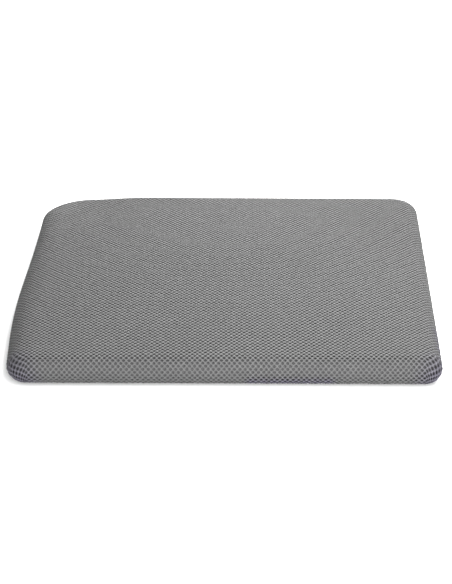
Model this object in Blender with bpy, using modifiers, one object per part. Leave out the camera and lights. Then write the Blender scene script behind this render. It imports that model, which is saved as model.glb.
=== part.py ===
"""Square kneeling pad: a spacer-mesh cover over two foam layers, with a grip base and a zip in its back.

Metres, +Z up, front towards -Y. The pad stands on z = 0, with the middle of its box at x = y = 0.
"""

import math

import bmesh
import bpy
from mathutils import Vector

# Space left between neighbours that touch.
GAP = 0.0003

# Cover: a square with rolled sides and a low crown.
SIDE = 0.406
HEIGHT = 0.030
CROWN = 0.0055
CROWN_POWER = 2.2
CORNER_RADIUS = 0.024
MESH_THICKNESS = 0.0025
COVER_LIFT = 0.0005
TURN_UNDER = 0.006

# Foam: the share of its height that the soft top layer takes, and the slack behind it for the zip.
COMFORT_SHARE = 0.42
ZIP_ROOM = 0.004

# Zip, along the middle of the back side. Depths are measured in from the back of the cover.
SLOT_LENGTH = 0.300
SLOT_HEIGHT = 0.012
TAPE_DEPTH = 0.003
TAPE_THICKNESS = 0.0006
CHAIN_GAP = 0.0012
COIL_LENGTH = 0.286
COIL_WIDTH = 0.0024
COIL_THICKNESS = 0.0018
STOP_LENGTH = 0.003
STOP_THICKNESS = 0.0022
SLIDER_LENGTH = 0.010
SLIDER_WALL = 0.001
FLANGE_WIDTH = 0.0009
BAIL_LENGTH = 0.0064
BAIL_WIDTH = 0.0016
BAIL_BAR = 0.0008
BAIL_OPENING = 0.002
BAIL_ROOT = 0.0004
PULL_LENGTH = 0.024
PULL_WIDTH = 0.0052
PULL_WAIST = 0.0040
PULL_THICKNESS = 0.001
PULL_EYE_WIDTH = 0.0024
PULL_EYE_REACH = 0.0042

# How finely curves are divided.
CORNER_STEPS = 8
SIDE_STEPS = 9
ROLL_STEPS = 6
TOP_STEPS = 8
PULL_END_STEPS = 8

# Worked out from the sizes above.
HALF = SIDE / 2
ROLL = (HEIGHT - COVER_LIFT) / 2
MIDDLE = COVER_LIFT + ROLL
FOAM_OFFSET = MESH_THICKNESS + GAP
FOAM_FLOOR = COVER_LIFT + FOAM_OFFSET
FOAM_CEILING = HEIGHT - FOAM_OFFSET
FOAM_SPLIT = FOAM_CEILING - COMFORT_SHARE * (FOAM_CEILING - FOAM_FLOOR)
TAPE_FRONT = -TAPE_DEPTH
TAPE_BACK = TAPE_FRONT - TAPE_THICKNESS
COIL_BACK = TAPE_FRONT + GAP
COIL_FRONT = COIL_BACK + COIL_THICKNESS
PLATE_BACK = COIL_FRONT + GAP
PLATE_FRONT = PLATE_BACK + SLIDER_WALL
PULL_AXIS = PLATE_FRONT + BAIL_OPENING / 2
BAIL_FRONT = PLATE_FRONT + BAIL_OPENING + BAIL_BAR
PAD_Y = -BAIL_FRONT / 2
BACK_Y = PAD_Y + HALF
CHAIN_START = CHAIN_GAP / 2
CHAIN_END = CHAIN_START + COIL_WIDTH
TAPE_END = SLOT_HEIGHT / 2 - GAP
SLIDER_X = (COIL_LENGTH - SLIDER_LENGTH) / 2
ZIP_PLACE = Vector((0.0, BACK_Y, MIDDLE))


def clear_scene():
    for obj in list(bpy.data.objects):
        bpy.data.objects.remove(obj, do_unlink=True)


def new_collection(name, hidden=False):
    collection = bpy.data.collections.new(name)
    collection.hide_render = hidden
    bpy.context.scene.collection.children.link(collection)
    return collection


def material(name, colour, roughness, metallic=0.0):
    made = bpy.data.materials.new(name)
    made.use_nodes = True
    shader = made.node_tree.nodes["Principled BSDF"]
    shader.inputs["Base Color"].default_value = (*colour, 1.0)
    shader.inputs["Roughness"].default_value = roughness
    shader.inputs["Metallic"].default_value = metallic
    made.diffuse_color = (*colour, 1.0)
    return made


def add_object(name, bm, collection, surface=None, where=(0.0, PAD_Y, 0.0)):
    bmesh.ops.recalc_face_normals(bm, faces=bm.faces)
    mesh = bpy.data.meshes.new(name)
    bm.to_mesh(mesh)
    bm.free()
    if surface:
        mesh.materials.append(surface)
    obj = bpy.data.objects.new(name, mesh)
    obj.location = where
    collection.objects.link(obj)
    return obj


def smooth(obj):
    for polygon in obj.data.polygons:
        polygon.use_smooth = True


def boolean(obj, other, operation):
    modifier = obj.modifiers.new(operation.title(), "BOOLEAN")
    modifier.operation = operation
    modifier.solver = "EXACT"
    modifier.object = other
    other.display_type = "WIRE"


def bevel(obj, width, segments=2):
    modifier = obj.modifiers.new("Bevel", "BEVEL")
    modifier.width = width
    modifier.segments = segments
    modifier.limit_method = "ANGLE"


def loft(bm, rings):
    """Faces between each ring of points and the next. Returns the rings of vertices."""
    loops = [[bm.verts.new(point) for point in ring] for ring in rings]
    for near, far in zip(loops, loops[1:]):
        for i in range(len(near)):
            bm.faces.new((near[i - 1], near[i], far[i], far[i - 1]))
    return loops


def close_with_fan(bm, loop, tip):
    centre = bm.verts.new(tip)
    for i in range(len(loop)):
        bm.faces.new((loop[i - 1], loop[i], centre))


def extruded(profile, start, end, to_space):
    """A closed solid: the profile's points carried from start to end along the axis that to_space adds."""
    bm = bmesh.new()
    for loop in loft(bm, [[to_space(u, v, w) for u, v in profile] for w in (start, end)]):
        bm.faces.new(loop)
    return bm


def along_x(y, z, x):
    return Vector((x, y, z))


def along_y(x, z, y):
    return Vector((x, y, z))


def along_z(x, y, z):
    return Vector((x, y, z))


def box(low, high):
    bm = bmesh.new()
    bmesh.ops.create_cube(bm, size=1.0)
    low, high = Vector(low), Vector(high)
    bmesh.ops.scale(bm, vec=high - low, verts=bm.verts)
    bmesh.ops.translate(bm, vec=(low + high) / 2, verts=bm.verts)
    return bm


def outline(inset, slack=0.0):
    """The rounded square this far inside the pad's edge, its back side brought forward by the slack."""
    radius = CORNER_RADIUS - inset
    reach = HALF - CORNER_RADIUS
    points = []
    for quarter, (x, y) in enumerate(((1, 1), (-1, 1), (-1, -1), (1, -1))):
        start = math.pi / 2 * quarter
        for step in range(CORNER_STEPS + 1):
            angle = start + math.pi / 2 * step / CORNER_STEPS
            points.append(reach * Vector((x, y)) + radius * Vector((math.cos(angle), math.sin(angle))))
        corner = points[-1]
        heading = Vector((-math.cos(start), -math.sin(start)))
        for step in range(1, SIDE_STEPS):
            points.append(corner + heading * (2 * reach * step / SIDE_STEPS))
    front = -HALF + inset
    share = 1 - slack / (2 * (HALF - inset))
    return [Vector((point.x, front + (point.y - front) * share)) for point in points]


def level_ring(inset, height, slack=0.0):
    return [point.to_3d() + Vector((0, 0, height)) for point in outline(inset, slack)]


def roll_ring(offset, angle, slack=0.0):
    """The ring at this angle up the rounded side of the surface that lies the offset inside the cover."""
    radius = ROLL - offset
    return level_ring(ROLL - radius * math.cos(angle), MIDDLE + radius * math.sin(angle), slack)


def roll_rings(offset, start, end, slack=0.0):
    steps = max(2, round((end - start) / (math.pi / 2) * ROLL_STEPS))
    return [roll_ring(offset, start + (end - start) * i / steps, slack) for i in range(steps + 1)]


def crown(x, y):
    reach = HALF - ROLL
    across = 1 - min(1, abs(x) / reach) ** CROWN_POWER
    along = 1 - min(1, abs(y) / reach) ** CROWN_POWER
    return CROWN * across * along


def crown_rings(offset, slack=0.0):
    rings = []
    for step in range(1, TOP_STEPS):
        points = [point * (1 - step / TOP_STEPS) for point in outline(ROLL, slack)]
        rings.append([Vector((x, y, HEIGHT - offset + crown(x, y))) for x, y in points])
    return rings


def crown_tip(offset):
    return Vector((0, 0, HEIGHT - offset + CROWN))


def cover_skin(bm, offset):
    """One face of the cover, from its turned-under edge up round the side and over the top."""
    edge = level_ring(ROLL + TURN_UNDER, COVER_LIFT + offset)
    rings = [edge] + roll_rings(offset, -math.pi / 2, math.pi / 2) + crown_rings(offset)
    loops = loft(bm, rings)
    close_with_fan(bm, loops[-1], crown_tip(offset))
    return loops[0]


def make_cover(parts, cutters):
    bm = bmesh.new()
    outer = cover_skin(bm, 0.0)
    inner = cover_skin(bm, MESH_THICKNESS)
    for i in range(len(outer)):
        bm.faces.new((outer[i - 1], outer[i], inner[i], inner[i - 1]))
    surface = material("spacer_mesh_grey", (0.21, 0.21, 0.22), 0.85)
    cover = add_object("mesh_cover", bm, parts, surface)
    smooth(cover)
    wall = 2 * TAPE_DEPTH
    half_slot = Vector((SLOT_LENGTH / 2, wall, SLOT_HEIGHT / 2))
    cutter = add_object("zip_slot_cutter", box(-half_slot, half_slot), cutters, None, ZIP_PLACE)
    boolean(cover, cutter, "DIFFERENCE")


def make_base(parts):
    profile = outline(ROLL + TURN_UNDER + GAP)
    bm = extruded(profile, 0.0, FOAM_FLOOR - GAP, along_z)
    add_object("non_slip_base", bm, parts, material("grip_fabric_charcoal", (0.035, 0.035, 0.038), 0.9))


def make_support_foam(parts):
    bm = bmesh.new()
    top = math.asin((FOAM_SPLIT - MIDDLE) / (ROLL - FOAM_OFFSET))
    loops = loft(bm, roll_rings(FOAM_OFFSET, -math.pi / 2, top, ZIP_ROOM))
    bm.faces.new(loops[0])
    bm.faces.new(loops[-1])
    surface = material("foam_firm_grey", (0.32, 0.33, 0.35), 0.95)
    smooth(add_object("support_foam", bm, parts, surface))


def make_comfort_foam(parts):
    bm = bmesh.new()
    bottom = math.asin((FOAM_SPLIT + GAP - MIDDLE) / (ROLL - FOAM_OFFSET))
    rings = roll_rings(FOAM_OFFSET, bottom, math.pi / 2, ZIP_ROOM) + crown_rings(FOAM_OFFSET, ZIP_ROOM)
    loops = loft(bm, rings)
    bm.faces.new(loops[0])
    close_with_fan(bm, loops[-1], crown_tip(FOAM_OFFSET))
    surface = material("foam_soft_cream", (0.83, 0.80, 0.68), 0.95)
    smooth(add_object("comfort_foam", bm, parts, surface))


def on_side(low, high, side):
    """A box given for the upper half of the zip, or its mirror image below the middle."""
    if side > 0:
        return box(low, high)
    return box((low[0], low[1], -high[2]), (high[0], high[1], -low[2]))


def make_tape(parts, name, side, surface):
    reach = SLOT_LENGTH / 2 - GAP
    bm = on_side((-reach, TAPE_BACK, CHAIN_START), (reach, TAPE_FRONT, TAPE_END), side)
    add_object(name, bm, parts, surface, ZIP_PLACE)


def make_coil(parts, name, side, surface):
    reach = COIL_LENGTH / 2
    bm = on_side((-reach, COIL_BACK, CHAIN_START), (reach, COIL_FRONT, CHAIN_END), side)
    bevel(add_object(name, bm, parts, surface, ZIP_PLACE), COIL_THICKNESS / 4, 3)


def make_top_stop(parts, name, side, surface):
    start = COIL_LENGTH / 2 + GAP
    low = (start, COIL_BACK, CHAIN_START)
    high = (start + STOP_LENGTH, COIL_BACK + STOP_THICKNESS, CHAIN_END)
    bevel(add_object(name, on_side(low, high, side), parts, surface, ZIP_PLACE), STOP_THICKNESS / 6)


def make_bottom_stop(parts, surface):
    start = -COIL_LENGTH / 2 - GAP
    low = (start - STOP_LENGTH, COIL_BACK, -CHAIN_END)
    high = (start, COIL_BACK + STOP_THICKNESS, CHAIN_END)
    bevel(add_object("zip_bottom_stop", box(low, high), parts, surface, ZIP_PLACE), STOP_THICKNESS / 6)


def slider_section():
    """Across the zip: an inner and an outer plate, a post between the coils, and a flange past each coil."""
    inner_front = TAPE_BACK - GAP
    inner_back = inner_front - SLIDER_WALL
    post = CHAIN_START - GAP
    flange_start = CHAIN_END + GAP
    edge = flange_start + FLANGE_WIDTH
    flange_tip = TAPE_FRONT + GAP
    upper = [
        (inner_back, edge),
        (inner_front, edge),
        (inner_front, post),
        (PLATE_BACK, post),
        (PLATE_BACK, flange_start),
        (flange_tip, flange_start),
        (flange_tip, edge),
        (PLATE_FRONT, edge),
    ]
    return upper + [(y, -z) for y, z in reversed(upper)]


def bail_profile():
    outer = BAIL_LENGTH / 2
    inner = outer - BAIL_BAR
    root = PLATE_FRONT - BAIL_ROOT
    crossbar = PLATE_FRONT + BAIL_OPENING
    left = [(-inner, root), (-outer, root), (-outer, BAIL_FRONT)]
    right = [(outer, BAIL_FRONT), (outer, root), (inner, root)]
    return left + right + [(inner, crossbar), (-inner, crossbar)]


def make_slider(parts, cutters, surface):
    place = ZIP_PLACE + Vector((SLIDER_X, 0, 0))
    half = SLIDER_LENGTH / 2
    slider = add_object(
        "zip_slider", extruded(slider_section(), -half, half, along_x), parts, surface, place
    )
    bevel(slider, SLIDER_WALL / 6)
    bail_bm = extruded(bail_profile(), -BAIL_WIDTH / 2, BAIL_WIDTH / 2, along_z)
    bail = add_object("slider_bail", bail_bm, cutters, None, place)
    bevel(bail, BAIL_BAR / 5)
    boolean(slider, bail, "UNION")
    return slider


def pull_profile():
    """The tab in its own plane, with the bar that it turns on at x = 0 and its round end towards -X."""
    half = PULL_WIDTH / 2
    bar = PULL_THICKNESS / 2
    shoulder = -PULL_EYE_REACH - PULL_THICKNESS
    neck = shoulder - half
    centre = -PULL_LENGTH + half
    arc = [math.pi * (0.5 + step / PULL_END_STEPS) for step in range(PULL_END_STEPS + 1)]
    end = [(centre + half * math.cos(angle), half * math.sin(angle)) for angle in arc]
    upper = [(bar, half), (shoulder, half), (neck, PULL_WAIST / 2)]
    return upper + end + [(x, -z) for x, z in reversed(upper)]


def make_pull(parts, cutters, slider, surface):
    axis = Vector((0, PULL_AXIS, 0))
    half = PULL_THICKNESS / 2
    pull = add_object(
        "zip_pull", extruded(pull_profile(), -half, half, along_y), parts, surface, axis
    )
    pull.parent = slider
    eye = box(
        (-PULL_EYE_REACH, -PULL_THICKNESS, -PULL_EYE_WIDTH / 2),
        (-half, PULL_THICKNESS, PULL_EYE_WIDTH / 2),
    )
    cutter = add_object("pull_eye_cutter", eye, cutters, None, axis)
    cutter.parent = slider
    boolean(pull, cutter, "DIFFERENCE")


def make_zip(parts, cutters):
    woven = material("zip_tape_grey", (0.10, 0.10, 0.105), 0.9)
    nylon = material("zip_nylon_grey", (0.12, 0.12, 0.125), 0.5)
    nickel = material("zip_nickel", (0.60, 0.59, 0.57), 0.3, 1.0)
    for side, name in ((1, "upper"), (-1, "lower")):
        make_tape(parts, "zip_tape_" + name, side, woven)
        make_coil(parts, "zip_coil_" + name, side, nylon)
        make_top_stop(parts, "zip_top_stop_" + name, side, nickel)
    make_bottom_stop(parts, nickel)
    slider = make_slider(parts, cutters, nickel)
    make_pull(parts, cutters, slider, nickel)


def main():
    clear_scene()
    parts = new_collection("kneeling_pad")
    cutters = new_collection("cutters", hidden=True)
    make_cover(parts, cutters)
    make_base(parts)
    make_support_foam(parts)
    make_comfort_foam(parts)
    make_zip(parts, cutters)


main()
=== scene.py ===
"""The kneeling pad as it looks: holed spacer mesh over foam, a dotted grip base and a coil zip behind."""

import math

import bmesh
import bpy
import numpy as np
from mathutils import Matrix, Vector


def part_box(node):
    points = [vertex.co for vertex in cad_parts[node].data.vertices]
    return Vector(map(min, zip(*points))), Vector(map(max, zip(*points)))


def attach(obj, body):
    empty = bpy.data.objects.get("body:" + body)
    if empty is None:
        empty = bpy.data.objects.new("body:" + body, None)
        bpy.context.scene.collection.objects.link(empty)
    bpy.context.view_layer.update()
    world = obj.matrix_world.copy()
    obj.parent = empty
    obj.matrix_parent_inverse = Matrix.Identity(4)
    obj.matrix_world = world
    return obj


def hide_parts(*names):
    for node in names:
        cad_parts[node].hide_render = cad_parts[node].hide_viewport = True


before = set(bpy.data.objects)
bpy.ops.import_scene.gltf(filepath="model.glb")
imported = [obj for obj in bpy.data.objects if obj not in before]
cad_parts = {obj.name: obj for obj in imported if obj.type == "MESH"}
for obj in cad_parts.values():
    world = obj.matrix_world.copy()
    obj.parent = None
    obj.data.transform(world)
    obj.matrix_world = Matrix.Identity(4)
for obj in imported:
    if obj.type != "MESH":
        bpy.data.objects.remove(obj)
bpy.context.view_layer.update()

# The cover's place and half width, from the CAD.
cover_low, cover_high = (Vector(corner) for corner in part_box("mesh_cover"))
HALF = (cover_high.x - cover_low.x) / 2
CENTRE_X = (cover_high.x + cover_low.x) / 2
CENTRE_Y = (cover_high.y + cover_low.y) / 2
BACK_Y = cover_high.y

# Shape of the cover. Its corners were sewn to different radii, and it has settled a little out of square.
EDGE_HEIGHT = 0.030
BOTTOM = 0.0015
CROWN = cover_high.z - EDGE_HEIGHT
CROWN_POWER = 2.2
RADIUS_FRONT_LEFT = 0.019
RADIUS_FRONT_RIGHT = 0.0165
RADIUS_BACK_LEFT = 0.047
RADIUS_BACK_RIGHT = 0.028
TURN_UNDER = 0.007
SIDE_BOW = 0.0074
SIDE_BOW_Y = -0.080
SIDE_BOW_SPREAD = 0.130
FRONT_SKEW = 0.00125
SIDE_SLUMP = 0.0020
SIDE_SLUMP_REACH = 0.055
CORNER_STRETCH = 0.38
CORNER_SAG = 0.0060
CORNER_SAG_REACH = 0.115

# Spacer mesh: staggered rows of holes through the outer face, and the inner face behind them.
PITCH_ACROSS = 0.0050
PITCH_ALONG = 0.0058
HOLE_HALF_WIDTH = 0.00112
HOLE_HALF_HEIGHT = 0.00125
STRAND_DEPTH = 0.0013
INNER_FACE_DEPTH = 0.0021
INNER_FACE_THICKNESS = 0.0004
INNER_FACE_SPACING = 0.0035
SIDE_INNER_FACE_DEPTH = 0.00145
NODE_RISE = 0.00035
SIDE_FLATTENING = 0.4

# The inner face stops short of the outer face's lip, and leaves the slot a little wider than its welt does.
INNER_FACE_SHORT = 0.001
INNER_FACE_UNDER_WELT = 0.0004

# Where the mesh is pulled open, as places and radii: both front corners, the front of the right side and a
# stretch of the lower front edge.
STRAINED = (
    ((cover_low.x + 0.011, cover_low.y + 0.011, 0.009), 0.029),
    ((cover_high.x - 0.008, cover_low.y + 0.012, 0.010), 0.029),
    *(((cover_high.x - 0.003, cover_low.y + 0.040 + 0.018 * step, 0.017), 0.015) for step in range(3)),
    *(((CENTRE_X + 0.025 + 0.010 * step, cover_low.y + 0.003, 0.0050), 0.012) for step in range(8)),
)

# Painted shade on the mesh, as heights near the hem and places in x on the left side, where its colour is
# darkened.
HEM_SHADE_DARKEST = 0.0022
HEM_SHADE_ENDS = 0.0062
LEFT_SHADE_DARKEST = cover_low.x + 0.004
LEFT_SHADE_ENDS = cover_low.x + 0.022
LEFT_SHADE_STRENGTH = 0.55

# The zip's slot and the welt that binds its edge.
SLOT_HALF_LENGTH = 0.150
SLOT_HALF_HEIGHT = 0.006
HOLES_PAST_SLOT = 0.002
WELT_MIDDLE = 0.0066
WELT_HALF_WIDTH = 0.0020
WELT_HALF_DEPTH = 0.0016
WELT_SUNK = 0.0012
WELT_PAST_SLOT = 0.0022

# Worked out from the above: the sides roll over in half a circle, which the crown meets at a slope.
ROLL = (EDGE_HEIGHT - BOTTOM) / 2
EDGE_SLOPE = CROWN * CROWN_POWER / (HALF - ROLL)
CROWN_REACH = HALF - ROLL * (1 - math.sin(EDGE_SLOPE))
MIDDLE = BOTTOM + ROLL
# How far past the top's edge the roll begins to press the mesh thin, and where it has done so.
FLATTENING_BEGINS = -0.002
FLATTENING_ENDS = ROLL * 0.9
ZIP_MIDDLE = (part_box("zip_tape_upper")[0][2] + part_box("zip_tape_lower")[1][2]) / 2
SLIDER_X = (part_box("zip_slider")[0][0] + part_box("zip_slider")[1][0]) / 2


# --- The cover's surface: fabric coordinates to points in space -----------------------------------


def corner_radii(s, t):
    """The radius of the cover's corner nearest to each flat point."""
    left = np.where(t < 0, RADIUS_FRONT_LEFT, RADIUS_BACK_LEFT)
    right = np.where(t < 0, RADIUS_FRONT_RIGHT, RADIUS_BACK_RIGHT)
    return np.where(s < 0, left, right)


def share(value):
    """How much of the crown's height is left this far from the middle: 1 there, 0 where the roll begins."""
    return 1 - np.minimum(1, np.abs(value) / CROWN_REACH) ** CROWN_POWER


def share_slope(value):
    inside = np.abs(value) < CROWN_REACH
    steep = CROWN_POWER / CROWN_REACH * (np.abs(value) / CROWN_REACH) ** (CROWN_POWER - 1)
    return np.where(inside, -np.sign(value) * steep, 0)


def corner_stretch(out_x, out_y, radius):
    """How much further the mesh reaches down over a corner, where it is pulled tight, than down a side."""
    return 1 + CORNER_STRETCH * np.minimum(1, RADIUS_FRONT_LEFT / radius) * 2 * np.abs(out_x * out_y)


def wrapped(s, t):
    """Where flat points (s, t) of the fabric lie: points, outward normals, and how far each is past the top.

    (s, t) are metres along the fabric from its middle, right and back, as if it were laid out flat.
    """
    radius = corner_radii(s, t)
    core = HALF - radius
    core_x, core_y = np.clip(s, -core, core), np.clip(t, -core, core)
    past = np.hypot(s - core_x, t - core_y)
    safe = np.where(past > 0, past, 1)
    out_x, out_y = (s - core_x) / safe, (t - core_y) / safe
    slope = EDGE_SLOPE * (np.abs(out_y) * share(core_x) + np.abs(out_x) * share(core_y))
    flat = radius - ROLL * (1 - np.sin(slope))
    run = (past - flat) * np.where(past > flat, corner_stretch(out_x, out_y, radius), 1)
    turn = np.clip(slope + run / ROLL, slope, math.pi)
    under = np.maximum(0, run - ROLL * (math.pi - slope))
    rolled = past > flat
    reach = np.where(rolled, flat + ROLL * (np.sin(turn) - np.sin(slope)) - under, past)
    x, y = core_x + out_x * reach, core_y + out_y * reach
    z = EDGE_HEIGHT - np.where(rolled, ROLL * (np.cos(slope) - np.cos(turn)), 0)
    z = z + np.where(rolled, 0, CROWN * share(x) * share(y))
    points = np.stack([x, y, z], -1)
    side = np.stack([out_x * np.sin(turn), out_y * np.sin(turn), np.cos(turn)], -1)
    fall_x, fall_y = CROWN * share_slope(x) * share(y), CROWN * share_slope(y) * share(x)
    top = np.stack([-fall_x, -fall_y, np.ones_like(x)], -1)
    top /= np.linalg.norm(top, axis=-1, keepdims=True)
    normals = np.where(rolled[..., None], side, top)
    return points, normals, run


def settled(points):
    """The sewn shape as it lies: a bowed, slack left side, a skewed front and a sunken back left corner."""
    x, y, z = points[..., 0], points[..., 1], points[..., 2]
    leftness = np.clip(-x / HALF, 0, 1) ** 2
    frontness = np.clip(-y / HALF, 0, 1)
    bow = SIDE_BOW * leftness * np.exp(-(((y - SIDE_BOW_Y) / SIDE_BOW_SPREAD) ** 2))
    from_corner = np.hypot(x + HALF, y - HALF) / CORNER_SAG_REACH
    slack = np.clip(1 - from_corner**2, 0, 1) ** 2
    high = np.clip(z / EDGE_HEIGHT, 0, 1.2)
    slump = SIDE_SLUMP * np.clip(1 - (x + HALF) / SIDE_SLUMP_REACH, 0, 1) ** 2
    skewed = y + FRONT_SKEW * frontness * x / HALF
    lowered = z - CORNER_SAG * slack * high**5 - slump * high**2
    return np.stack([x - bow, skewed, lowered], -1) + np.array([CENTRE_X, CENTRE_Y, 0])


def on_cover(s, t, depth):
    """Points on the settled cover, or depth under it."""
    points, normals, _ = wrapped(s, t)
    return settled(points - normals * np.broadcast_to(depth, s.shape)[..., None])


# --- Making objects -------------------------------------------------------------------------------


def add_piece(name, points, quads, material, body="pad", triangles=(), smooth=True):
    """A mesh piece riding on a body, from rows of corner numbers."""
    quads = np.asarray(quads, np.int32).reshape(-1, 4)
    triangles = np.asarray(triangles, np.int32).reshape(-1, 3)
    sizes = np.repeat(np.array([4, 3], np.int32), [len(quads), len(triangles)])
    mesh = bpy.data.meshes.new(name)
    mesh.vertices.add(len(points))
    mesh.vertices.foreach_set("co", np.asarray(points, np.float32).ravel())
    mesh.loops.add(int(sizes.sum()))
    mesh.loops.foreach_set("vertex_index", np.concatenate([quads.ravel(), triangles.ravel()]))
    mesh.polygons.add(len(sizes))
    mesh.polygons.foreach_set("loop_start", np.cumsum(sizes, dtype=np.int32) - sizes)
    mesh.polygons.foreach_set("use_smooth", np.full(len(sizes), smooth))
    mesh.update(calc_edges=True)
    mesh.materials.append(material)
    obj = bpy.data.objects.new(name, mesh)
    bpy.context.scene.collection.objects.link(obj)
    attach(obj, body)
    return obj


def between_rings(rings, size, closed=True):
    """Quads from each ring of points to the next, for rings stored one after another."""
    near = np.arange(size if closed else size - 1)[None, :]
    far = (near + 1) % size
    ring = np.arange(rings - 1)[:, None] * size
    quads = np.stack([ring + near, ring + far, ring + size + far, ring + size + near], -1)
    return quads.reshape(-1, 4)


def round_rings(rings, size):
    """The same where the last ring is joined to the first too."""
    near = np.arange(size)[None, :]
    far = (near + 1) % size
    ring = np.arange(rings)[:, None] * size
    next_ring = np.roll(ring, -1, axis=0)
    quads = np.stack([ring + near, ring + far, next_ring + far, next_ring + near], -1)
    return quads.reshape(-1, 4)


def add_tubes(name, sections, material, body="pad"):
    """One piece of closed tubes, from sections shaped (tubes, rings, points in a ring, 3)."""
    tubes, rings, size, _ = sections.shape
    tips = np.stack([sections[:, 0].mean(1), sections[:, -1].mean(1)], 1)
    points = np.concatenate([sections.reshape(tubes, -1, 3), tips], 1)
    near = np.arange(size)
    far = (near + 1) % size
    start, last = rings * size, (rings - 1) * size
    first_cap = np.stack([far, near, np.full(size, start)], -1)
    last_cap = np.stack([last + near, last + far, np.full(size, start + 1)], -1)
    step = np.arange(tubes)[:, None, None] * points.shape[1]
    quads = between_rings(rings, size)[None] + step
    caps = np.concatenate([first_cap, last_cap])[None] + step
    return add_piece(name, points.reshape(-1, 3), quads, material, body, triangles=caps)


def add_loft(name, rings, material, body="pad"):
    """One closed piece through rings of points, (rings, points in a ring, 3), with a fan over each end."""
    return add_tubes(name, rings[None], material, body)


def ring_points(count):
    angles = np.arange(count) / count * 2 * math.pi
    return np.cos(angles), np.sin(angles)


def squared(cosine, power):
    """A round section's cosine or sine, drawn towards a square's: the lower the power, the squarer."""
    return np.sign(cosine) * np.abs(cosine) ** power


def distance_along(line):
    """How far along a line each of its points lies."""
    return np.concatenate([[0], np.cumsum(np.linalg.norm(np.diff(line, axis=0), axis=1))])


def corner_arc(start, count):
    """Directions over a quarter turn, from an angle in degrees."""
    angles = np.radians(start + np.linspace(0, 90, count))
    return np.stack([np.cos(angles), np.sin(angles)], -1)


def tube_along(path, radius, count=6):
    """Rings round each path. path is (tubes, rings, 3) and radius a number or one for each ring."""
    tangent = np.gradient(path, axis=1)
    tangent /= np.linalg.norm(tangent, axis=-1, keepdims=True)
    upright = np.where(np.abs(tangent[..., 2:]) < 0.9, [0.0, 0.0, 1.0], [1.0, 0.0, 0.0])
    across = np.cross(tangent, upright)
    across /= np.linalg.norm(across, axis=-1, keepdims=True)
    other = np.cross(across, tangent)
    cos, sin = ring_points(count)
    spread = across[..., None, :] * cos[:, None] - other[..., None, :] * sin[:, None]
    return path[..., None, :] + spread * np.asarray(radius)[..., None, None]


# --- Materials ------------------------------------------------------------------------------------


class Shader:
    """A material under construction. Texture scales are in repeats per metre of the piece, or nearly so."""

    def __init__(self, name, roughness, metallic=0.0):
        self.material = bpy.data.materials.new(name)
        self.material.use_nodes = True
        self.tree = self.material.node_tree
        self.principled = self.tree.nodes["Principled BSDF"]
        self.principled.inputs["Roughness"].default_value = roughness
        self.principled.inputs["Metallic"].default_value = metallic
        self.place = self.node("TexCoord").outputs["Object"]

    def node(self, kind, **inputs):
        made = self.tree.nodes.new("ShaderNode" + kind)
        for name, value in inputs.items():
            self.feed(made.inputs[name.replace("_", " ")], value)
        return made

    def feed(self, socket, value):
        if isinstance(value, bpy.types.NodeSocket):
            self.tree.links.new(value, socket)
        else:
            socket.default_value = value

    def noise(self, scale, detail=2.0):
        return self.node("TexNoise", Vector=self.place, Scale=scale, Detail=detail).outputs["Fac"]

    def bands(self, scale, direction, distortion=0.0):
        wave = self.node("TexWave", Vector=self.place, Scale=scale, Distortion=distortion)
        wave.bands_direction = direction
        return wave.outputs["Fac"]

    def cells(self, scale):
        return self.node("TexVoronoi", Vector=self.place, Scale=scale).outputs["Distance"]

    def math(self, operation, first, second):
        made = self.node("Math")
        made.operation = operation
        self.feed(made.inputs[0], first)
        self.feed(made.inputs[1], second)
        return made.outputs[0]

    def blend(self, first, second, part):
        """This part of the first value and the rest of the second."""
        return self.math("ADD", self.math("MULTIPLY", first, part), self.math("MULTIPLY", second, 1 - part))

    def between(self, factor, low, high):
        return self.node("MapRange", Value=factor, To_Min=low, To_Max=high).outputs["Result"]

    def falling(self, value, begin, end, most=1.0, curve="LINEAR"):
        """The most where the value is below one limit, falling to 0 at the other."""
        made = self.node("MapRange", Value=value, From_Min=begin, From_Max=end, To_Min=most, To_Max=0.0)
        made.interpolation_type = curve
        return made.outputs["Result"]

    def mix(self, factor, first, second):
        made = self.node("Mix")
        made.data_type = "RGBA"
        self.feed(made.inputs[0], factor)
        for index, value in ((6, first), (7, second)):
            whole = isinstance(value, bpy.types.NodeSocket) or len(value) == 4
            self.feed(made.inputs[index], value if whole else (*value, 1.0))
        return made.outputs[2]

    def near(self, centre, radius):
        """1 at a point of the piece, falling to 0 a radius away."""
        away = self.node("VectorMath")
        away.operation = "DISTANCE"
        self.feed(away.inputs[0], self.place)
        self.feed(away.inputs[1], centre)
        return self.falling(away.outputs["Value"], 0.0, radius, curve="SMOOTHSTEP")

    def finish(self, colour, height=None, strength=0.3, distance=0.0002, roughness=None):
        self.feed(self.principled.inputs["Base Color"], colour)
        if roughness is not None:
            self.feed(self.principled.inputs["Roughness"], roughness)
        if height is not None:
            bump = self.node("Bump", Height=height, Strength=strength, Distance=distance)
            self.feed(self.principled.inputs["Normal"], bump.outputs[0])
        return self.material


def strained(shader):
    """The shader's own reading of how hard the mesh is pulled open, from 0 to 1."""
    found = 0.0
    for place, radius in STRAINED:
        found = shader.math("MAXIMUM", found, shader.near(place, radius))
    return found


def painted_edge_shade(shader):
    """Painted shade, where the mesh and its holes are darkened: low down by the hem, less on the left side.
    """
    x, _, z = shader.node("SeparateXYZ", Vector=shader.place).outputs
    shade_by_hem = shader.falling(z, HEM_SHADE_DARKEST, HEM_SHADE_ENDS)
    shade_on_left_side = shader.falling(x, LEFT_SHADE_DARKEST, LEFT_SHADE_ENDS, most=LEFT_SHADE_STRENGTH)
    return shader.math("MAXIMUM", shade_by_hem, shade_on_left_side)


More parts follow.
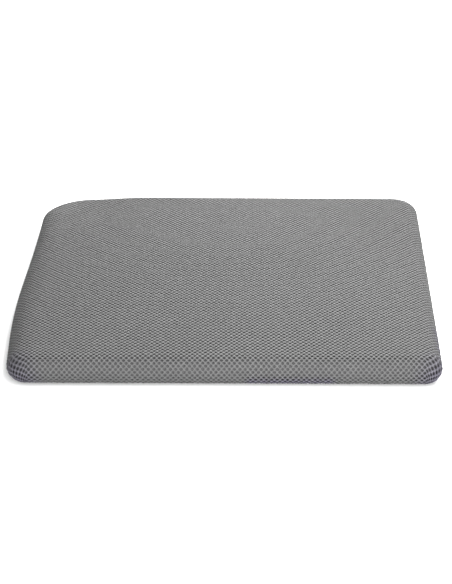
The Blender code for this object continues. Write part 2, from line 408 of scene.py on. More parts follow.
def spacer_mesh_material():
    """Knitted yarn with painted shade down the holes and painted highlight on the nodes: how proud each point
    lies comes with the mesh.
    """
    shader = Shader("spacer_mesh_face", roughness=0.75)
    shader.principled.inputs["Specular IOR Level"].default_value = 0.25
    proud = shader.node("Attribute")
    proud.attribute_name = "proud"
    dye = shader.noise(9.0, 3.0)
    fibres = shader.noise(1400.0, 2.0)
    low = shader.mix(dye, (0.027, 0.027, 0.027), (0.033, 0.033, 0.033))
    # Painted shade: the yarn is darkened low down by the hem and on the left side.
    low = shader.mix(painted_edge_shade(shader), low, (0.009, 0.009, 0.009))
    high = shader.mix(dye, (0.115, 0.115, 0.115), (0.133, 0.133, 0.133))
    high = shader.mix(painted_edge_shade(shader), high, (0.080, 0.080, 0.080))
    # Painted shade and highlight: the colour runs from the dark low grey down the holes to the light high
    # grey on the proud nodes.
    level = shader.math("ADD", proud.outputs["Fac"], shader.between(fibres, -0.12, 0.12))
    level = shader.math("ADD", level, shader.between(shader.noise(260.0), -0.16, 0.16))
    grey_with_painted_shade = shader.mix(level, low, high)
    # Where the mesh is pulled open its hole throats go near black: painted shade in the opened holes.
    opened_with_painted_shade = shader.mix(level, (0.006, 0.005, 0.009), (0.104, 0.096, 0.132))
    colour = shader.mix(strained(shader), grey_with_painted_shade, opened_with_painted_shade)
    loops = shader.math("ADD", shader.bands(520.0, "DIAGONAL", 2.0), fibres)
    return shader.finish(colour, loops, 0.7, 0.00025, shader.between(fibres, 0.62, 0.88))


def inner_mesh_material():
    shader = Shader("spacer_mesh_inner_face", roughness=0.9)
    tone = shader.noise(240.0, 2.0)
    grey_with_painted_shade = shader.mix(tone, (0.040, 0.040, 0.041), (0.060, 0.060, 0.062))
    # Painted shade: the inner face is darkened low down by the hem and on the left side.
    grey_with_painted_shade = shader.mix(painted_edge_shade(shader), grey_with_painted_shade, (0.006, 0.006, 0.006))
    # Where the mesh is pulled open the inner face goes near black: painted shade through the opened holes.
    colour = shader.mix(strained(shader), grey_with_painted_shade, (0.005, 0.004, 0.008))
    knit = shader.math("MULTIPLY", shader.bands(420.0, "X"), shader.bands(380.0, "Y"))
    return shader.finish(colour, knit, 0.5, 0.0002)


def woven_material(name, dark, light, scale):
    """Plain woven cloth: threads over and under each other, with a little unevenness in the dye."""
    shader = Shader(name, roughness=0.85)
    threads = shader.math("MULTIPLY", shader.bands(scale, "X"), shader.bands(scale, "Y"))
    colour = shader.mix(shader.blend(threads, shader.noise(60.0), 0.6), dark, light)
    return shader.finish(colour, threads, 0.5, 0.0002, shader.between(shader.noise(300.0), 0.75, 0.95))


def foam_material(name, dark, light, cell_scale):
    """Open-cell foam: pores of two sizes and a soft blotchiness."""
    shader = Shader(name, roughness=0.95)
    small_pores = shader.math("MULTIPLY", shader.cells(cell_scale * 2.7), 0.5)
    pores = shader.math("ADD", shader.cells(cell_scale), small_pores)
    colour = shader.mix(shader.blend(pores, shader.noise(25.0, 3.0), 0.5), dark, light)
    return shader.finish(colour, pores, 0.6, 0.0004, shader.between(shader.noise(500.0), 0.85, 1.0))


def nylon_material():
    shader = Shader("zip_nylon", roughness=0.4)
    colour = shader.mix(shader.noise(700.0), (0.035, 0.035, 0.037), (0.065, 0.065, 0.068))
    roughness = shader.between(shader.noise(900.0), 0.3, 0.5)
    return shader.finish(colour, shader.noise(2500.0), 0.15, 0.00005, roughness)


def nickel_material():
    shader = Shader("zip_nickel", roughness=0.3, metallic=1.0)
    wear = shader.noise(420.0, 4.0)
    colour = shader.mix(wear, (0.20, 0.197, 0.19), (0.30, 0.295, 0.285))
    tumbled = shader.noise(3000.0, 2.0)
    return shader.finish(colour, tumbled, 0.12, 0.00003, shader.between(wear, 0.22, 0.42))


def thread_material():
    shader = Shader("seam_thread", roughness=0.6)
    twist = shader.bands(900.0, "DIAGONAL")
    colour = shader.mix(twist, (0.045, 0.045, 0.047), (0.105, 0.105, 0.108))
    return shader.finish(colour, twist, 0.4, 0.00005)


def rubber_material():
    shader = Shader("grip_dot_rubber", roughness=0.55)
    colour = shader.mix(shader.noise(150.0, 3.0), (0.008, 0.008, 0.009), (0.016, 0.016, 0.017))
    roughness = shader.between(shader.noise(220.0), 0.42, 0.68)
    return shader.finish(colour, shader.noise(1800.0), 0.25, 0.00006, roughness)


# --- The spacer mesh cover ------------------------------------------------------------------------

# A hole's cell is a hexagon standing on a point, with the middles of its sloping sides between its corners.
# Three cells meet at each corner. Points run anticlockwise from the upper end of the right side.
SIDE_NODE = (PITCH_ALONG / 2 - PITCH_ACROSS**2 / 4 / PITCH_ALONG * 2) / 2
TOP_NODE = PITCH_ALONG / 2 - SIDE_NODE
STRAND = (SIDE_NODE + TOP_NODE) / 2
CELL_X = np.array([1, 0.5, 0, -0.5, -1, -1, -0.5, 0, 0.5, 1]) * PITCH_ACROSS / 2
UPPER_Y = [SIDE_NODE, STRAND, TOP_NODE, STRAND, SIDE_NODE]
CELL_Y = np.array(UPPER_Y + [-y for y in UPPER_Y])
IS_NODE = np.array([1, 0, 1, 0, 1, 1, 0, 1, 0, 1])

# A cell's rings, from the edge that it shares with its neighbours down through its hole.
STRAND_SINK = 0.00012
SHOULDER_PLACE = 0.36
SHOULDER_DEPTH = 0.0001
RIM_DEPTH = 0.00055
THROAT_SPREAD = 0.12
CELL_RINGS = 4

# How proud a shoulder counts for the painted shade and highlight, where 0 is down a hole and 1 is the top of
# a node, and how much of the difference from it is lost on the flattened sides.
PLAIN = 0.38
SIDE_EVENNESS = 0.65
REGION_NAMES = (
    "mesh_top_front_left",
    "mesh_top_front_right",
    "mesh_top_back_left",
    "mesh_top_back_right",
    "mesh_side_left",
    "mesh_side_right",
    "mesh_side_front",
    "mesh_side_back",
)


def hole_centres(limit):
    """Flat centres of staggered holes, out to a limit each way."""
    across = int(limit / PITCH_ACROSS) + 1
    along = int(limit / PITCH_ALONG) + 1
    i, j = np.meshgrid(np.arange(-across, across + 1), np.arange(-along, along + 1))
    first = np.stack([i * PITCH_ACROSS, j * PITCH_ALONG], -1).reshape(-1, 2)
    second = first + [PITCH_ACROSS / 2, PITCH_ALONG / 2]
    return np.concatenate([first, second])


def lip_width(s, t):
    """How far the mesh carries on under the base cloth: less round a corner, where it would bunch up."""
    radius = corner_radii(s, t)
    at_corner = (np.abs(s) > HALF - radius) & (np.abs(t) > HALF - radius)
    return np.where(at_corner, np.minimum(TURN_UNDER, (radius - ROLL) / 2), TURN_UNDER)


def by_slot(s, t, half_length, half_height):
    """Which flat points lie on the back side within these distances of the zip's middle."""
    points, _, past = wrapped(s, t)
    on_back_side = (np.abs(s) < half_length) & (t > 0) & (past > 0)
    return on_back_side & (np.abs(points[..., 2] - ZIP_MIDDLE) < half_height)


def in_cover(centres):
    """Which holes lie on the cover: short of its turned-under edge and clear of the zip's slot."""
    s, t = centres[:, 0], centres[:, 1]
    inside = wrapped(s, t)[2] < ROLL * math.pi + lip_width(s, t)
    return inside & ~by_slot(s, t, SLOT_HALF_LENGTH + HOLES_PAST_SLOT, SLOT_HALF_HEIGHT + PITCH_ALONG / 4)


def drawn(s, t):
    """Flat points moved as the knitting is uneven: slow waves over many rows, and small ones hole to hole.

    Each wave is a height times the sine of a distance over a length, all in metres.
    """
    wave_s = 0.0007 * np.sin(t / 0.041 + 1.3) + 0.0004 * np.sin(s / 0.023 + t / 0.061)
    wave_t = 0.0008 * np.sin(s / 0.052 + 0.4) + 0.0005 * np.sin(t / 0.031 - s / 0.045)
    wave_s = wave_s + 0.00016 * np.sin(s / 0.0027 + 2.3 * np.sin(t / 0.019))
    wave_t = wave_t + 0.00016 * np.sin(t / 0.0034 + 1.9 * np.sin(s / 0.023))
    return s + wave_s, t + wave_t


def cell_rings(centres):
    """Flat points and depths of each cell's rings: its edge, its shoulder, and the hole's rim and throat."""
    edge = centres[:, None] + np.stack([CELL_X, CELL_Y], -1)
    turn = np.arctan2(CELL_Y / HOLE_HALF_HEIGHT, CELL_X / HOLE_HALF_WIDTH)
    hole = np.stack([HOLE_HALF_WIDTH * np.cos(turn), HOLE_HALF_HEIGHT * np.sin(turn)], -1)
    rim = centres[:, None] + hole
    shoulder = rim + (edge - centres[:, None] - hole) * SHOULDER_PLACE
    throat = rim + hole * THROAT_SPREAD
    flat = np.stack([edge, shoulder, rim, throat], 1)
    edge_depth = STRAND_SINK - (NODE_RISE + STRAND_SINK) * IS_NODE
    level = np.ones(len(CELL_X))
    depth = np.stack([edge_depth, SHOULDER_DEPTH * level, RIM_DEPTH * level, STRAND_DEPTH * level])
    return flat, np.broadcast_to(depth, flat.shape[:3])


def smoothstep(value, low, high):
    part = np.clip((value - low) / (high - low), 0, 1)
    return part**2 * (3 - 2 * part)


def strain(points):
    """1 at the places where the mesh is pulled open, falling to 0 round them."""
    found = np.zeros(points.shape[:-1])
    for place, radius in STRAINED:
        away = np.linalg.norm(points - np.array(place), axis=-1)
        found = np.maximum(found, 1 - smoothstep(away, radius * 0.3, radius))
    return found


def flattening(s, t):
    """0 on the top, rising to 1 on the sides, where the roll presses the mesh thin unless it is strained."""
    points, _, past = wrapped(s, t)
    return smoothstep(past, FLATTENING_BEGINS, FLATTENING_ENDS) * (1 - strain(settled(points)))


def mesh_points(flat, depth):
    """Where the flat points of the knitting lie in space, each at its depth."""
    s, t = drawn(flat[..., 0], flat[..., 1])
    return on_cover(s, t, depth * (1 - SIDE_FLATTENING * flattening(s, t)))


def merged(flat, depth):
    """Flat points, depths and new numbers, with each point that neighbouring cells share kept once."""
    place_key = np.round(flat.reshape(-1, 2) * 1e6).astype(np.int64)
    depth_key = np.round(depth.reshape(-1, 1) * 1e7).astype(np.int64)
    keys = np.concatenate([place_key, depth_key], 1)
    _, first, number = np.unique(keys, axis=0, return_index=True, return_inverse=True)
    return flat.reshape(-1, 2)[first], depth.reshape(-1)[first], number.reshape(-1)


def smooth_normals(points, quads):
    """A normal at each point, from the faces that meet there."""
    corners = points[quads]
    face = np.cross(corners[:, 2] - corners[:, 0], corners[:, 3] - corners[:, 1])
    normals = np.zeros_like(points)
    for corner in range(4):
        np.add.at(normals, quads[:, corner], face)
    return normals / np.maximum(np.linalg.norm(normals, axis=1, keepdims=True), 1e-12)


def region(centres):
    """The panel that each hole belongs to: a quarter of the top, or one of the four sides."""
    s, t = centres[:, 0], centres[:, 1]
    past = wrapped(s, t)[2]
    quarter = (s > 0).astype(int) + 2 * (t > 0)
    side = np.where(np.abs(s) > np.abs(t), 4 + (s > 0), 6 + (t > 0))
    return np.where(past < 0, quarter, side)


def make_mesh_face(material):
    """The holed outer face, in panels that share one set of normals, so that no seam shows between them."""
    centres = hole_centres(HALF + ROLL * math.pi)
    centres = centres[in_cover(centres)]
    panel = region(centres)
    flat, depth = cell_rings(centres)
    kept_flat, kept_depth, number = merged(flat, depth)
    points = mesh_points(kept_flat, kept_depth)
    pressed = flattening(kept_flat[:, 0], kept_flat[:, 1])
    # How proud each point lies, which the material turns into painted shade down the holes and painted
    # highlight on the nodes.
    proud = np.interp(kept_depth, [-NODE_RISE, SHOULDER_DEPTH, RIM_DEPTH], [1, PLAIN, 0])
    proud = PLAIN + (proud - PLAIN) * (1 - SIDE_EVENNESS * pressed)
    size = len(CELL_X)
    starts = np.arange(len(centres))[:, None, None] * CELL_RINGS * size
    quads = number[between_rings(CELL_RINGS, size)[None] + starts]
    normals = smooth_normals(points, quads.reshape(-1, 4))
    pieces = []
    for index, name in enumerate(REGION_NAMES):
        used, corners = np.unique(quads[panel == index].reshape(-1, 4), return_inverse=True)
        piece = add_piece(name, points[used], corners.reshape(-1, 4), material)
        piece.data.normals_split_custom_set_from_vertices(normals[used].tolist())
        piece.data.attributes.new("proud", "FLOAT", "POINT").data.foreach_set("value", proud[used])
        pieces.append(piece)
    return pieces


def make_inner_face(material):
    """The closed inner face of the mesh, which shows through the holes."""
    limit = HALF + ROLL * math.pi
    line = np.linspace(-limit, limit, round(2 * limit / INNER_FACE_SPACING) + 1)
    s, t = np.meshgrid(line, line, indexing="ij")
    inside = wrapped(s, t)[2] < ROLL * math.pi + lip_width(s, t) - INNER_FACE_SHORT
    inside &= ~by_slot(s, t, SLOT_HALF_LENGTH, WELT_MIDDLE - WELT_HALF_WIDTH + INNER_FACE_UNDER_WELT)
    quads = between_rings(len(line), len(line), closed=False)
    quads = quads[inside.ravel()[quads].all(1)]
    depth = INNER_FACE_DEPTH + (SIDE_INNER_FACE_DEPTH - INNER_FACE_DEPTH) * flattening(s, t)
    outer = on_cover(s, t, depth).reshape(-1, 3)
    inner = on_cover(s, t, depth + INNER_FACE_THICKNESS).reshape(-1, 3)
    return join_skins("mesh_inner_face", outer, inner, quads, material)


def join_skins(name, outer, inner, quads, material):
    """A closed sheet: the outer skin's quads, the inner skin's reversed, and a wall along every open edge."""
    edges = np.concatenate([quads[:, [i, (i + 1) % 4]] for i in range(4)])
    key = np.sort(edges, axis=1)
    _, index, count = np.unique(key, axis=0, return_inverse=True, return_counts=True)
    rim = edges[count[index.reshape(-1)] == 1]
    total = len(outer)
    walls = np.stack([rim[:, 1], rim[:, 0], rim[:, 0] + total, rim[:, 1] + total], -1)
    every = np.concatenate([quads, quads[:, ::-1] + total, walls])
    used, corners = np.unique(every, return_inverse=True)
    points = np.concatenate([outer, inner])[used]
    return add_piece(name, points, corners.reshape(-1, 4), material)


# --- Foam and base --------------------------------------------------------------------------------

# Each corner: its signs in x and y, the angle in degrees where its arc begins, and its radius.
CORNERS = (
    (-1, -1, 180, RADIUS_FRONT_LEFT),
    (1, -1, 270, RADIUS_FRONT_RIGHT),
    (1, 1, 0, RADIUS_BACK_RIGHT),
    (-1, 1, 90, RADIUS_BACK_LEFT),
)
SIDE_POINTS = 36
CORNER_POINTS = 12

FOAM_DEPTH = 0.0030
FOAM_GAP = 0.0003
FOAM_TOP_RINGS = 30
FOAM_SIDE_RINGS = 9
INNERMOST = 0.02

BASE_TOP = 0.0014
BASE_UNDER = 0.0006
BASE_FLAT_INSET = 0.0012
BASE_EDGE_INSET = 0.0004
BASE_RINGS = 40
BASE_SEAM_INSET = 0.0030
DOT_SPACING = 0.0105
DOT_RADIUS = 0.0017
DOTS_INSET = 0.0075
DOTS_EACH_WAY = 23


def outline(extra):
    """Flat points round the cover, extra beyond the line where its sides begin to roll."""
    cores, outs = [], []
    for index, (side_x, side_y, start, radius) in enumerate(CORNERS):
        core = np.array([side_x, side_y]) * (HALF - radius)
        cores.append(np.broadcast_to(core, (CORNER_POINTS, 2)))
        outs.append(corner_arc(start, CORNER_POINTS))
        next_x, next_y, _, next_radius = CORNERS[(index + 1) % 4]
        out = np.round(outs[-1][-1])
        begin = core + out * radius
        end = np.array([next_x, next_y]) * (HALF - next_radius) + out * next_radius
        steps = np.linspace(0, 1, SIDE_POINTS + 2)[1:-1, None]
        along = begin + (end - begin) * steps
        cores.append(along)
        outs.append(np.broadcast_to(out, along.shape))
    # A corner's points start from the centre of its arc, and a side's from the side itself.
    base, out = np.concatenate(cores), np.concatenate(outs)
    on_arc = np.concatenate([np.repeat([1, 0], [CORNER_POINTS, SIDE_POINTS])] * 4)
    radius = corner_radii(base[:, 0], base[:, 1])
    slope = EDGE_SLOPE * (np.abs(out[:, 1]) * share(base[:, 0]) + np.abs(out[:, 0]) * share(base[:, 1]))
    inward = ROLL * (1 - np.sin(slope))
    beyond = np.where(on_arc, radius - inward, -inward)
    beyond = beyond + extra / corner_stretch(out[:, 0], out[:, 1], radius)
    return base + out * beyond[:, None]


def make_foam(name, node, low, high, material):
    """A foam block that fills the cover between two heights, its sides following the cover's roll."""
    inner_roll = ROLL - FOAM_DEPTH
    is_cut = high < EDGE_HEIGHT - FOAM_DEPTH
    start = math.acos(np.clip((high - MIDDLE) / inner_roll, -1, 1)) if is_cut else 0.0
    end = math.acos(np.clip((low - MIDDLE) / inner_roll, -1, 1))
    flat_edge = outline(0.0)
    flat = [flat_edge * part for part in np.linspace(INNERMOST, 1, FOAM_TOP_RINGS)]
    flat += [outline(ROLL * turn) for turn in np.linspace(start, end, FOAM_SIDE_RINGS)]
    every = np.stack([on_cover(ring[:, 0], ring[:, 1], FOAM_DEPTH) for ring in flat])
    upper, sides = every[:FOAM_TOP_RINGS], every[FOAM_TOP_RINGS:]
    if is_cut:
        upper[..., 2] = high
    floor = upper[::-1].copy()
    floor[..., 2] = low
    rings = np.concatenate([upper, sides, floor])
    rings[..., 2] = np.clip(rings[..., 2], low, None)
    rings[..., 1] = np.minimum(rings[..., 1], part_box(node)[1][1])
    piece = add_loft(name, rings, material)
    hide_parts(node)
    return piece


def base_ring(inset, height):
    """The base cloth's outline at a height, inset from where the cover's lip begins."""
    ring = outline(ROLL * math.pi)
    points = on_cover(ring[:, 0], ring[:, 1], 0.0)
    away = points - np.array([CENTRE_X, CENTRE_Y, 0])
    length = np.linalg.norm(away[:, :2], axis=1, keepdims=True)
    points = points - away * inset / length
    points[:, 2] = height
    return points


def make_dots(rubber):
    """Staggered rubber dots, wherever there is room for one inside the base cloth's edge."""
    centre = np.array([CENTRE_X, CENTRE_Y])
    edge = base_ring(0.0, 0.0)[:, :2] - centre
    across = np.arange(-DOTS_EACH_WAY, DOTS_EACH_WAY + 1) * DOT_SPACING
    grid = np.stack(np.meshgrid(across, across), -1).reshape(-1, 2)
    grid = np.concatenate([grid, grid + DOT_SPACING / 2])
    bearing = np.arctan2(edge[:, 1], edge[:, 0])
    order = np.argsort(bearing)
    limit = np.linalg.norm(edge, axis=1)
    turns = np.arctan2(grid[:, 1], grid[:, 0])
    room = np.interp(turns, bearing[order], limit[order], period=2 * math.pi) - DOTS_INSET
    grid = grid[np.hypot(grid[:, 0], grid[:, 1]) < room]
    cos, sin = ring_points(8)
    radii = np.array([0.9, 1.0, 0.8, 0.42]) * DOT_RADIUS
    heights = np.array([BASE_UNDER + 0.0003, BASE_UNDER, 0.00015, 0.0])
    dots = np.zeros((len(grid), len(radii), len(cos), 3))
    dots[..., 0] = CENTRE_X + grid[:, 0, None, None] + radii[:, None] * cos
    dots[..., 1] = CENTRE_Y + grid[:, 1, None, None] - radii[:, None] * sin
    dots[..., 2] = heights[:, None]
    return add_tubes("base_grip_dots", dots, rubber)


def make_base(cloth, thread, rubber):
    """The cloth underneath, with a rounded edge, the line of stitches inside it, and its rubber dots."""
    centre = np.array([CENTRE_X, CENTRE_Y, 0])
    shares = np.linspace(INNERMOST, 1, BASE_RINGS)
    flat = base_ring(BASE_FLAT_INSET, 0.0) - centre
    under = [centre + flat * part + [0, 0, BASE_UNDER] for part in shares]
    edge = [
        base_ring(BASE_EDGE_INSET, BASE_UNDER),
        base_ring(0.0, (BASE_TOP + BASE_UNDER) / 2),
        base_ring(BASE_EDGE_INSET, BASE_TOP),
    ]
    over = [centre + flat * part + [0, 0, BASE_TOP] for part in shares[::-1]]
    sheet = add_loft("base_cloth", np.stack(under + edge + over), cloth)
    seam = base_ring(BASE_SEAM_INSET, BASE_UNDER - 0.0001)
    stitches = make_stitches("base_stitches", seam, thread, length=0.0032, spacing=0.0037, radius=0.00028)
    grip = make_dots(rubber)
    for piece in (sheet, stitches, grip):
        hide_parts("non_slip_base")


def make_stitches(name, path, thread, length, spacing, radius):
    """Short threads end to end round a closed path of points, each dipping into the cloth at its ends."""
    line = np.concatenate([path, path[:1]])
    run = distance_along(line)
    starts = np.arange(0, run[-1] - length, spacing)
    shares = np.array([0.0, 0.12, 0.5, 0.88, 1.0])
    where = starts[:, None] + shares * length
    paths = np.stack([np.interp(where, run, line[:, axis]) for axis in range(3)], -1)
    return add_tubes(name, tube_along(paths, radius * np.array([0.55, 0.95, 1.0, 0.95, 0.55])), thread)


# --- Zip ------------------------------------------------------------------------------------------

# Faces and depths are measured into the cover from its back side, and the pull's axis out from it.
COIL_PITCH = 0.0015
COIL_WIRE = 0.00032
COIL_HALF_LENGTH = 0.143
COIL_DEPTH = 0.00195
TAPE_FACE = 0.0030
TAPE_THICKNESS = 0.0005
TAPE_HALF_LENGTH = SLOT_HALF_LENGTH + 0.001
TAPE_RIBS = 23
OUTER_PLATE_DEPTH = 0.0006
OUTER_PLATE_THICKNESS = 0.0010
INNER_PLATE_DEPTH = 0.0048
INNER_PLATE_THICKNESS = 0.0008
PULL_AXIS = 0.0014
PULL_HALF_THICKNESS = 0.0005


def on_back(s, w, depth):
    """A point on the back side, w above the zip's middle and depth into the cover."""
    slope = EDGE_SLOPE * share(s)
    turn = np.arccos((w + ZIP_MIDDLE - MIDDLE) / (ROLL - depth))
    t = HALF - ROLL * (1 - np.sin(slope)) + ROLL * (turn - slope)
    return on_cover(s, t, depth)


def slot_path():
    """Points and outward directions evenly round the zip's slot, in (s, w)."""
    count = 720
    round_off = 0.004
    corner_points = 10
    core = np.array([SLOT_HALF_LENGTH + WELT_PAST_SLOT, WELT_MIDDLE]) - round_off
    corners, outs = [], []
    for side_x, side_y, start in ((1, -1, 270), (1, 1, 0), (-1, 1, 90), (-1, -1, 180)):
        out = corner_arc(start, corner_points)
        corners.append(core * [side_x, side_y] + out * round_off)
        outs.append(out)
    # The first arc follows the last again, so that the points between them are found as well.
    line, out = np.concatenate(corners + corners[:1]), np.concatenate(outs + outs[:1])
    run = distance_along(line)
    where = np.arange(count) / count * run[len(corners) * corner_points]
    points = np.stack([np.interp(where, run, line[:, axis]) for axis in range(2)], -1)
    outward = np.stack([np.interp(where, run, out[:, axis]) for axis in range(2)], -1)
    return points, outward / np.linalg.norm(outward, axis=1, keepdims=True)


def make_welt(cloth, thread):
    """The bound edge of the slot: one folded strip all the way round, with a line of stitches."""
    points, outward = slot_path()
    cos, sin = ring_points(14)
    side = squared(cos, 0.6) * WELT_HALF_WIDTH
    into = WELT_SUNK + squared(sin, 0.6) * WELT_HALF_DEPTH
    place = points[:, None] + outward[:, None] * side[None, :, None]
    rings = on_back(place[..., 0], place[..., 1], np.broadcast_to(into, place.shape[:2]))
    welt = add_piece("zip_welt", rings.reshape(-1, 3), round_rings(len(points), len(cos)), cloth)
    line = on_back(points[:, 0], points[:, 1], WELT_SUNK - WELT_HALF_DEPTH - 0.00002)
    stitches = make_stitches("zip_welt_stitches", line, thread, length=0.0028, spacing=0.0034, radius=0.00022)
    for piece in (welt, stitches):
        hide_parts("mesh_cover")


def make_tape(node, side, cloth):
    """A woven tape: fine ribs along it, flat beside the coil and bending in behind the mesh."""
    across = np.linspace(0, 1, TAPE_RIBS)
    bends = [0, 0.58, 0.72, 1]
    rise = np.interp(across, bends, [0.0004, 0.0042, 0.0049, 0.0063])
    depth = np.interp(across, bends, [TAPE_FACE, TAPE_FACE, TAPE_FACE + 0.0007, TAPE_FACE + 0.0016])
    depth = depth + 0.00007 * np.cos(np.arange(TAPE_RIBS) * math.pi)
    x = np.linspace(-TAPE_HALF_LENGTH, TAPE_HALF_LENGTH, 401)
    weave = 0.00004 * np.cos(x / 0.0008 * math.pi)
    skins = []
    for inward in (0.0, TAPE_THICKNESS):
        skin = np.zeros((len(x), len(rise), 3))
        skin[..., 0] = x[:, None]
        skin[..., 1] = BACK_Y - depth[None] - inward + weave[:, None]
        skin[..., 2] = ZIP_MIDDLE + side * rise[None]
        skins.append(skin.reshape(-1, 3))
    quads = between_rings(len(x), len(rise), closed=False)
    quads = quads[:, ::-1] if side < 0 else quads
    piece = join_skins(f"woven_{node[4:]}", skins[0], skins[1], quads, cloth)
    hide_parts(node)


def make_coil(node, side, nylon, thread):
    """A nylon coil, whose flattened turns reach between those of the other coil, and its sewing thread."""
    turns = int(2 * COIL_HALF_LENGTH / COIL_PITCH) - 1
    turn_points = 12
    phase = np.arange(turns * turn_points + 1) / turn_points
    start = -COIL_HALF_LENGTH + 0.0004 + (COIL_PITCH / 2 if side < 0 else 0)
    angle = phase * 2 * math.pi
    rise = 0.0012 - 0.0015 * np.cos(angle)
    out = 0.00083 * np.sin(angle)
    path = np.stack([start + phase * COIL_PITCH, BACK_Y - COIL_DEPTH + out, ZIP_MIDDLE + side * rise], -1)
    coil = add_tubes(f"nylon_{node[4:]}", tube_along(path[None], COIL_WIRE, 8), nylon)
    x = np.linspace(-COIL_HALF_LENGTH, COIL_HALF_LENGTH, 1141)
    wave = 0.00012 * np.cos((x - start) / COIL_PITCH * 2 * math.pi)
    rows = []
    for height in (0.0015, 0.0021):
        rows.append(np.stack([x, BACK_Y - 0.00080 + wave, np.full_like(x, ZIP_MIDDLE + side * height)], -1))
    sewing = add_tubes(f"sewing_{node[4:]}", tube_along(np.stack(rows), 0.00016, 5), thread)
    for piece in (coil, sewing):
        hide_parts(node)


def rounded_box(low, high, radius):
    """Rings, low to high in y, of a block with rounded corners and edges."""
    cos, sin = ring_points(24)
    middle, half = (low + high) / 2, (high - low) / 2
    corner_x, corner_z = np.sign(np.round(cos, 6)), np.sign(np.round(sin, 6))
    # Each ring's place along y, and how far the block is drawn in there.
    near_end = ((-1, 0.6), (-0.97, 0.27), (-0.88, 0.072), (-0.7, 0))
    far_end = tuple((-place, drawn_in) for place, drawn_in in reversed(near_end))
    rings = []
    for place, drawn_in in near_end + far_end:
        x = corner_x * (half[0] - radius) + cos * radius * (1 - drawn_in)
        z = corner_z * (half[2] - radius) + sin * radius * (1 - drawn_in)
        y = np.full_like(x, middle[1] + place * half[1])
        rings.append(np.stack([middle[0] + x, y, middle[2] + z], -1))
    return np.stack(rings)


def make_stop(node, metal):
    """A crimped stop, as big as the CAD's."""
    low, high = (np.array(corner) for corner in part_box(node))
    piece = add_loft(f"crimped_{node[4:]}", rounded_box(low, high, 0.0006), metal)
    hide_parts(node)


def plate_rings(face, back):
    """A slider plate: narrow behind and broad with two rounded shoulders in front, with softened edges."""
    angle = np.arange(48) / 48 * 2 * math.pi
    x = 0.005 * squared(np.cos(angle), 0.55)
    half_width = 0.0038 + 0.0004 * smoothstep(x, -0.003, 0.003)
    z = half_width * squared(np.sin(angle), 0.5)
    notch = 0.0011 * np.exp(-((z / 0.0016) ** 2))
    x = x - notch * (np.cos(angle) > 0.5)
    rings = []
    for part, scale in ((0, 0.93), (0.12, 0.975), (0.3, 1.0), (0.7, 1.0), (0.88, 0.975), (1, 0.93)):
        y = np.full_like(x, back + (face - back) * part)
        rings.append(np.stack([SLIDER_X + x * scale, BACK_Y + y, ZIP_MIDDLE + z * scale], -1))
    return np.stack(rings)[:, ::-1]


def flattened_tube(path, half_z, half_normal):
    """Rings with a squarish section round a path that lies in the plane of x and y."""
    tangent = np.gradient(path, axis=0)
    tangent /= np.linalg.norm(tangent, axis=1, keepdims=True)
    normal = np.stack([-tangent[:, 1], tangent[:, 0], np.zeros(len(path))], -1)
    cos, sin = ring_points(12)
    ring = path[:, None] + normal[:, None] * (squared(cos, 0.6) * half_normal)[None, :, None]
    return ring + np.array([0, 0, 1.0]) * (squared(sin, 0.6) * half_z)[None, :, None]


def make_slider(metal):
    """Two plates with the coils between them, a flange above and below, and the bridge that holds the tab."""
    outer = plate_rings(OUTER_PLATE_THICKNESS - OUTER_PLATE_DEPTH, -OUTER_PLATE_DEPTH)
    inner = plate_rings(INNER_PLATE_THICKNESS - INNER_PLATE_DEPTH, -INNER_PLATE_DEPTH)
    pieces = [
        add_loft("slider_outer_plate", outer, metal, "slider"),
        add_loft("slider_inner_plate", inner, metal, "slider"),
    ]
    x = np.linspace(-0.0042, 0.0034, 12)
    for name, side in (("upper", 1), ("lower", -1)):
        height = ZIP_MIDDLE + side * 0.0037
        path = np.stack([SLIDER_X + x, np.full_like(x, BACK_Y - 0.0015), np.full_like(x, height)], -1)
        rings = flattened_tube(path, 0.00030, 0.0010)
        pieces.append(add_loft(f"slider_flange_{name}", rings, metal, "slider"))
    angle = np.linspace(math.pi, 0, 25)
    arch_x = 0.0028 * squared(np.cos(angle), 0.5)
    arch_y = 0.0002 + 0.0026 * np.abs(np.sin(angle)) ** 0.45
    arch = np.stack([SLIDER_X + arch_x, BACK_Y + arch_y, np.full_like(arch_x, ZIP_MIDDLE)], -1)
    pieces.append(add_loft("slider_bridge", flattened_tube(arch, 0.0008, 0.0004), metal, "slider"))
    for piece in pieces:
        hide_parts("zip_slider")


def pull_edge():
    """The tab's edge, as points in its own plane, with the bar that goes through the bridge at x = 0."""
    end = np.radians(np.linspace(90, 270, 15))
    tip = np.stack([-0.0214 + 0.0026 * np.cos(end), 0.0026 * np.sin(end)], -1)
    side_x = np.linspace(0.0, -0.0205, 24)
    waist = np.exp(-(((side_x + 0.0085) / 0.0035) ** 2))
    side = np.stack([side_x, 0.0026 - 0.0006 * waist], -1)
    bar = np.radians(np.linspace(0, 90, 6))
    corner = np.stack([-0.0003 + 0.0008 * np.sin(bar)[::-1], 0.0018 + 0.0008 * np.cos(bar)[::-1]], -1)
    upper = np.concatenate([corner, side[1:]])
    lower = upper[::-1] * [1, -1]
    front = np.stack([np.full(5, 0.0005), np.linspace(-0.0014, 0.0014, 5)], -1)
    return np.concatenate([upper, tip, lower, front])


